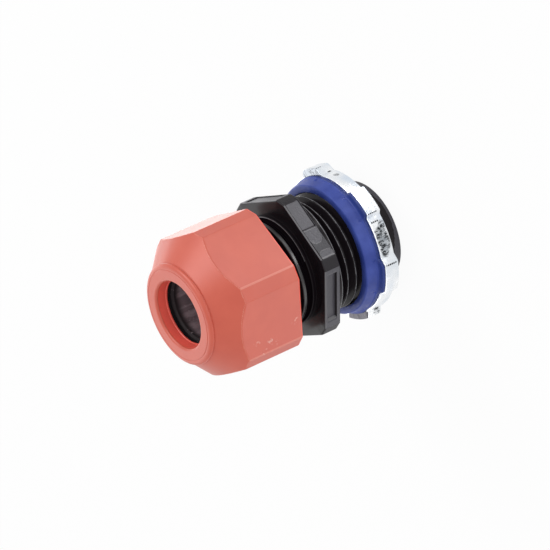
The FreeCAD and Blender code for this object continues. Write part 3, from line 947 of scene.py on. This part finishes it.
bushing_line = [(BUSHING_BORE, SOCKET_FLOOR), (BUSHING_SLEEVE, SOCKET_FLOOR),
                (BUSHING_SLEEVE, HEAD_BOTTOM), (BUSHING_HEAD, HEAD_BOTTOM + HEAD_RISE),
                (BUSHING_HEAD, WASHER_BOTTOM - HEAD_CHAMFER),
                (BUSHING_HEAD - HEAD_CHAMFER, WASHER_BOTTOM),
                (BUSHING_BORE + BORE_CHAMFER, WASHER_BOTTOM),
                (BUSHING_BORE, WASHER_BOTTOM - BORE_CHAMFER), (BUSHING_BORE, SOCKET_FLOOR)]
bushing = loft("cable_bushing_surface", round_angles, profile(bushing_line))
place(dress(bushing, 0, "black_rubber"), "body", "cable_bushing")
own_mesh(bushing)

# %% [markdown]
# ## Lugs and sealing ring
#
# The locknut's lugs are stamped and bent, so no two are quite alike, and the soft seal in front of
# them is squeezed into a lobe over each. A repeated tab would look machined. One table lists the
# angles and the reach of each lug, and both pieces are built from it.

# %% Lugs
# Each lug: the angles of its root, corner, corner and root, its reach, and its lobe's reach
LUGS = [(347.5, 353.6, 370.5, 374.5, 14.15, 12.85), (47.0, 51.0, 71.0, 75.0, 14.15, 13.8),
        (107.0, 111.0, 131.0, 135.0, 14.15, 13.8), (161.0, 164.5, 189.5, 193.5, 14.15, 12.95),
        (223.0, 226.5, 251.0, 256.0, 14.0, 13.8), (288.5, 290.8, 312.0, 314.5, 13.85, 13.75)]


def tabs(turns, base, reaches, soften=0.0):
    """A radius of base that rises along straight slants to each tab's reach between its corners.

    Radius = base + (reach - base) times the share of the slant, from 0 at a root to 1 at a corner.
    """
    radius = np.full(turns.shape, float(base))
    for (root, corner, far_corner, far_root, *_), reach in zip(LUGS, reaches):
        rise = np.clip(past(turns, root) / (corner - root + soften), 0, 1)
        fall = np.clip(-past(turns, far_root) / (far_root - far_corner + soften), 0, 1)
        from_middle = past(turns, (root + far_root) / 2)
        near = np.where(from_middle < 0, rise, fall)
        inside = np.abs(from_middle) < (far_root - root) / 2
        radius = np.where(inside, base + (reach - base) * near, radius)
    return radius


print("widest lug:", max(lug[3] - lug[0] for lug in LUGS), "degrees")

# %% Sealing ring
SEAL_BACK, SEAL_FRONT, SEAL_RADIUS, SEAL_BORE = 7.35, 10.1, 12.7, 10.66
LOBE_TOP, SEAL_TAPER, DENT_DEPTH = 7.85, 0.55, 0.16


def crease(turns):
    """Narrow dents beside the lobes, each with a low swelling 2.2 degrees on, as bell curves."""
    total = np.zeros(turns.shape)
    for lug in LUGS:
        for angle in (lug[0] + 1.5, lug[3] - 1.5):
            total += np.exp(-(past(turns, angle) / 1.1) ** 2)
            total -= 0.5 * np.exp(-(past(turns, angle + 2.2) / 1.3) ** 2)
    return total


def sealing_ring():
    """A ring whose radius falls by the taper on the way up, with a lobe over each lug."""
    turns = ring_angles(720)
    lobe = tabs(turns, SEAL_RADIUS, [lug[5] for lug in LUGS], soften=1.0)
    wobble = 0.05 * np.sin(turns * 5 + 1.0) + 0.03 * np.sin(turns * 11)
    rim = SEAL_RADIUS - 0.04 + wobble * 0.6
    pinch = crease(turns)
    rings = [(SEAL_BORE, SEAL_BACK), (SEAL_RADIUS - 0.5, SEAL_BACK), (lobe - 0.12, SEAL_BACK),
             (lobe - 0.03, SEAL_BACK + 0.04), (lobe, SEAL_BACK + 0.12), (lobe, LOBE_TOP - 0.22),
             (lobe - 0.06, LOBE_TOP - 0.08), (lobe * 0.7 + rim * 0.3, LOBE_TOP),
             (np.minimum(lobe, rim + 0.12), LOBE_TOP + 0.06),
             (np.minimum(lobe, rim + 0.02), LOBE_TOP + 0.14)]
    foot, top = SEAL_BACK + 0.3, SEAL_FRONT - 0.25
    for z in np.linspace(LOBE_TOP + 0.22, SEAL_FRONT - 0.32, 12):
        dent = DENT_DEPTH * pinch * math.exp(-((z - LOBE_TOP - 0.35) / 0.38) ** 2)
        rings.append((rim - SEAL_TAPER * (z - foot) / (top - foot) - dent, z))
    ridge = rim - SEAL_TAPER
    rings += [(ridge, SEAL_FRONT - 0.24), (ridge - 0.03, SEAL_FRONT - 0.16),
              (ridge - 0.10, SEAL_FRONT - 0.07), (ridge - 0.24, SEAL_FRONT - 0.02),
              (ridge - 0.36, SEAL_FRONT), (SEAL_BORE + 0.1, SEAL_FRONT),
              (SEAL_BORE, SEAL_FRONT - 0.1), (SEAL_BORE, SEAL_BACK)]
    return dress(loft("sealing_ring_surface", turns, rings), 0, "blue_seal")


place(sealing_ring(), "locknut_travel", "sealing_ring")

# %% [markdown]
# ## Locknut
#
# The locknut is a flat steel ring with six lugs, which a screwdriver drives round. Its corners are
# the only sharp bends on its outline, so they get angles of their own, and a quarter round at the
# top and bottom of the rim catches the light as plating does.

# %% Locknut
LOCK_BACK, LOCK_FRONT, LOCK_BORE, LOCK_RIM = 4.45, 7.35, 10.66, 13.1
LOCK_EDGE, LOCK_CHAMFER = 0.14, 0.4


def locknut():
    """Radius = the lugs' outline, less edge (1 - cos t) over the rounding at the top and bottom."""
    corners = [math.radians(angle + offset)
               for lug in LUGS for angle in lug[:4] for offset in (-0.25, 0.0, 0.25)]
    turns = ring_angles(540, corners)
    outer = tabs(turns, LOCK_RIM, [lug[4] for lug in LUGS])
    low, high = LOCK_BACK + LOCK_EDGE, LOCK_FRONT - LOCK_EDGE
    mouth, flat = LOCK_BORE + LOCK_CHAMFER, LOCK_BORE + LOCK_CHAMFER + 0.1
    rings = [(mouth, LOCK_BACK), (flat, LOCK_BACK), (LOCK_RIM - 0.4, LOCK_BACK)]
    rings += arc(outer - LOCK_EDGE, low, LOCK_EDGE, -90, 0, 4)
    rings += [(outer, low + (high - low) * share) for share in (0.03, 0.25, 0.5, 0.75, 0.97)]
    rings += arc(outer - LOCK_EDGE, high, LOCK_EDGE, 0, 90, 4)
    rings += [(LOCK_RIM - 0.4, LOCK_FRONT), (flat, LOCK_FRONT), (mouth, LOCK_FRONT),
              (LOCK_BORE, LOCK_FRONT - LOCK_CHAMFER), (LOCK_BORE, LOCK_BACK + LOCK_CHAMFER),
              (mouth, LOCK_BACK)]
    return dress(loft("locknut_surface", turns, rings), 0, "plated_steel")


place(locknut(), "locknut", "locknut")

# %% [markdown]
# ## Floor and world
#
# A product picture has a white table and a white room. Turning up the lamps until the floor burns
# white would bleach the piece too. So the floor and the world are white only to rays from the
# camera and off glossy surfaces, and light the piece at a plain level. The floor keeps a little of
# its own shading, so the piece's shadow still shows.

# %% Floor and world
FLOOR_REACH = 3.0
FLOOR_GLOW = 0.94
ROOM_LIGHT = 0.78


def seen_rays(s):
    """1 for rays from the camera or off a glossy surface, and 0 for all others."""
    camera, glossy = (s.node("ShaderNodeLightPath", [], out=f"Is {ray} Ray")
                      for ray in ("Camera", "Glossy"))
    return (camera + glossy).capped()


def floor():
    """A square of white paper at z = 0."""
    corners = [(x, y, 0) for x, y in ((-1, -1), (1, -1), (1, 1), (-1, 1))]
    mesh = bpy.data.meshes.new("floor")
    mesh.from_pydata((np.array(corners) * FLOOR_REACH).tolist(), [], [(0, 1, 2, 3)])
    piece = bpy.data.objects.new("floor", mesh)
    bpy.context.scene.collection.objects.link(piece)
    s = material_sheet("floor_paper")
    mesh.materials.append(s.finish(Base_Color=(0.86, 0.86, 0.86), Roughness=0.9))
    paper = Value(s, s.shader.outputs[0])
    glow = s.node("ShaderNodeEmission", {"Color": (1, 1, 1, 1), "Strength": 1.0})
    both = s.node("ShaderNodeMixShader", [seen_rays(s) * FLOOR_GLOW, paper, glow])
    s.tree.links.new(both.socket, s.tree.nodes["Material Output"].inputs[0])
    return piece


def world():
    """White of strength 1 to the rays that see it, and of the room's strength to the rest."""
    surround = bpy.data.worlds.new("studio")
    bpy.context.scene.world = surround
    s = Sheet(surround, "Background")
    level = ROOM_LIGHT + seen_rays(s) * (1 - ROOM_LIGHT)
    return s.finish(Color=(1, 1, 1), Strength=level)


print("stage:", floor().name, "and", world().name)

# %% [markdown]
# ## Lamps
#
# The piece has matt red flats, which show soft light, and black and plated parts, which show only
# what they mirror. One lamp for both would put a glare on one or leave the other dead. So some
# lamps are kept to the soft light and some to the shine, and small glowing patches just above the
# table stand for the bright things that the thread's crests and the rim reflect.

# %% Lamps
TARGET = np.array([0.0, 0.0, 0.02135])
TABLE_GLOW_HEIGHT = 0.4


def stand(aside, upwards, back, place_at):
    """A placing matrix whose columns are a lamp's or camera's three axes and its place."""
    columns = np.stack([aside, upwards, back, place_at], axis=1)
    return Matrix([*columns.tolist(), [0, 0, 0, 1]])


def lamp(name, place_at, facing, size, power, part="both"):
    """A square area lamp shining along facing; part keeps it to "shine" or to "light"."""
    back_of = -np.asarray(facing, float) / np.linalg.norm(facing)
    light = bpy.data.lights.new(name, "AREA")
    light.energy = power
    light.size = size
    holder = bpy.data.objects.new(name, light)
    bpy.context.scene.collection.objects.link(holder)
    aside = np.cross([0.0, 1.0, 0.0], back_of)
    aside /= np.linalg.norm(aside)
    holder.matrix_world = stand(aside, np.cross(back_of, aside), back_of, place_at)
    holder.visible_camera = False
    holder.visible_diffuse = part != "shine"
    holder.visible_glossy = part != "light"
    return holder


def soft_lamp(name, direction, distance, size, power, part="both"):
    """A lamp that looks at the piece's middle from a direction."""
    direction = np.asarray(direction) / np.linalg.norm(direction)
    return lamp(name, TARGET + direction * distance, -direction, size, power, part)


def table_glow(name, x, y, size, radiance):
    """A glowing patch of the table, in mm, seen in the shine alone: power = radiance pi size^2."""
    return lamp(name, np.array([x, y, TABLE_GLOW_HEIGHT]) * MM, (0, 0, 1), size * MM,
                radiance * math.pi * (size * MM) ** 2, "shine")


lamps = [
    soft_lamp("left", (0.764, 0.313, 0.565), 0.5, 0.18, 0.62, "light"),
    soft_lamp("left_shine", (0.680, -0.06, 0.73), 0.5, 0.32, 1.20, "shine"),
    soft_lamp("back_shine", (0.24, 0.96, 0.10), 0.6, 0.28, 0.52, "shine"),
    soft_lamp("fill", (-0.10, -0.90, 0.35), 0.6, 0.4, 0.45),
    soft_lamp("behind", (-0.163, 0.848, 0.505), 0.5, 0.34, 0.40, "shine"),
    table_glow("glow_right", 60, -52, 50, 2.9),
    table_glow("glow_crest", 15.0, -44.5, 16, 9.0),
    table_glow("glow_near", 22, -19, 14, 7.0),
    table_glow("glow_front", 0, -80, 60, 1.7),
    table_glow("glow_left", -55, -30, 60, 1.4),
    table_glow("glow_behind", 20, 75, 90, 2.0),
]
print("lamps:", [holder.name for holder in lamps])

# %% [markdown]
# ## Camera
#
# The connector lies on its side in the picture. It keeps its frame here, so the camera is rolled
# instead: its place, its three axes and its lens were solved from the picture's circles and
# hexagons, which a camera aimed by eye would miss by several degrees.

# %% Camera
CAMERA_EYE = np.array([140.899, -736.538, 459.365]) * MM
CAMERA_RIGHT = (-0.31767842, -0.52919994, -0.78678322)
CAMERA_UP = (0.93411514, -0.03218576, -0.3555179)
CAMERA_BACK = (0.16281683, -0.84788649, 0.5045584)
LENS, SENSOR, FAR_END = 327.273, 36, 20

camera = bpy.data.cameras.new("camera")
camera.lens = LENS
camera.sensor_width = SENSOR
camera.clip_end = FAR_END
viewer = bpy.data.objects.new("camera", camera)
bpy.context.scene.collection.objects.link(viewer)
viewer.matrix_world = stand(CAMERA_RIGHT, CAMERA_UP, CAMERA_BACK, CAMERA_EYE)
bpy.context.scene.camera = viewer
bpy.context.scene.view_settings.view_transform = "Standard"
print("camera at", CAMERA_EYE.round(3), "with a lens of", LENS, "mm")
